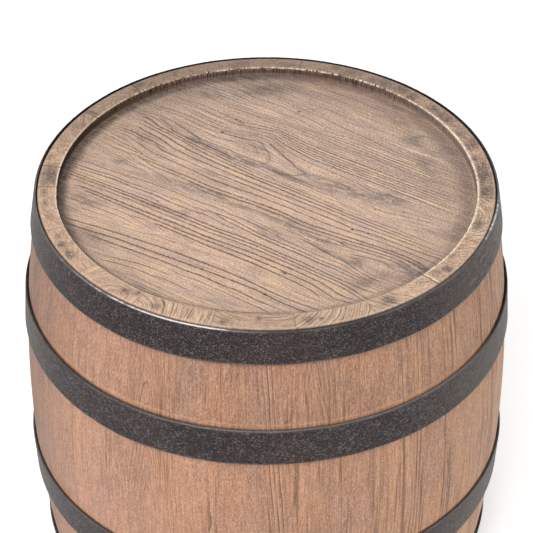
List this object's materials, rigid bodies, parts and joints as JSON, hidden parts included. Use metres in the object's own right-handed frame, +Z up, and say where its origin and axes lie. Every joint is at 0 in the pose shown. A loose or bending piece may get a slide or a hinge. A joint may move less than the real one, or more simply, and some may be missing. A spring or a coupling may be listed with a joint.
{
  "type": "barrel side table",
  "caption": "Short stave-built barrel used as a side table, with four dark riveted metal hoops and a round wooden top recessed inside the rim.",
  "frame": {"origin": "centre of the barrel's foot circle, on the floor", "axes": "+Z up along the barrel's axis; -Y is the front, the side the picture was taken from; +X to the right in the picture"},
  "size_m": [0.6118, 0.6118, 0.55],
  "materials": {
    "stave_wood": "wire-brushed oak, grey-brown glaze, dull wax",
    "head_wood": "wire-brushed cathedral grain, grey glaze in the pores, dull wax",
    "hoop_metal": "dark bronze-grey, finely hammered, satin, lighter worn edges",
    "rivet_metal": "dark bronze-grey, satin",
    "dowel_wood": "bare"
  },
  "bodies": {
    "root": {"bottom_head_board_1": "head_wood", "bottom_head_board_2": "head_wood", "bottom_head_board_3": "head_wood", "bottom_head_board_4": "head_wood", "bottom_head_board_5": "head_wood", "bottom_head_dowels": "dowel_wood", "lower_bilge_hoop": "hoop_metal", "lower_bilge_hoop_rivets": "rivet_metal", "lower_chime_hoop": "hoop_metal", "lower_chime_hoop_rivets": "rivet_metal", "stave_01": "stave_wood", "stave_02": "stave_wood", "stave_03": "stave_wood", "stave_04": "stave_wood", "stave_05": "stave_wood", "stave_06": "stave_wood", "stave_07": "stave_wood", "stave_08": "stave_wood", "stave_09": "stave_wood", "stave_10": "stave_wood", "stave_11": "stave_wood", "stave_12": "stave_wood", "stave_13": "stave_wood", "stave_14": "stave_wood", "stave_15": "stave_wood", "stave_16": "stave_wood", "stave_17": "stave_wood", "stave_18": "stave_wood", "stave_19": "stave_wood", "stave_20": "stave_wood", "stave_21": "stave_wood", "top_head_panel": "head_wood", "upper_bilge_hoop": "hoop_metal", "upper_bilge_hoop_rivets": "rivet_metal", "upper_chime_hoop": "hoop_metal", "upper_chime_hoop_rivets": "rivet_metal"}
  },
  "joints": []
}
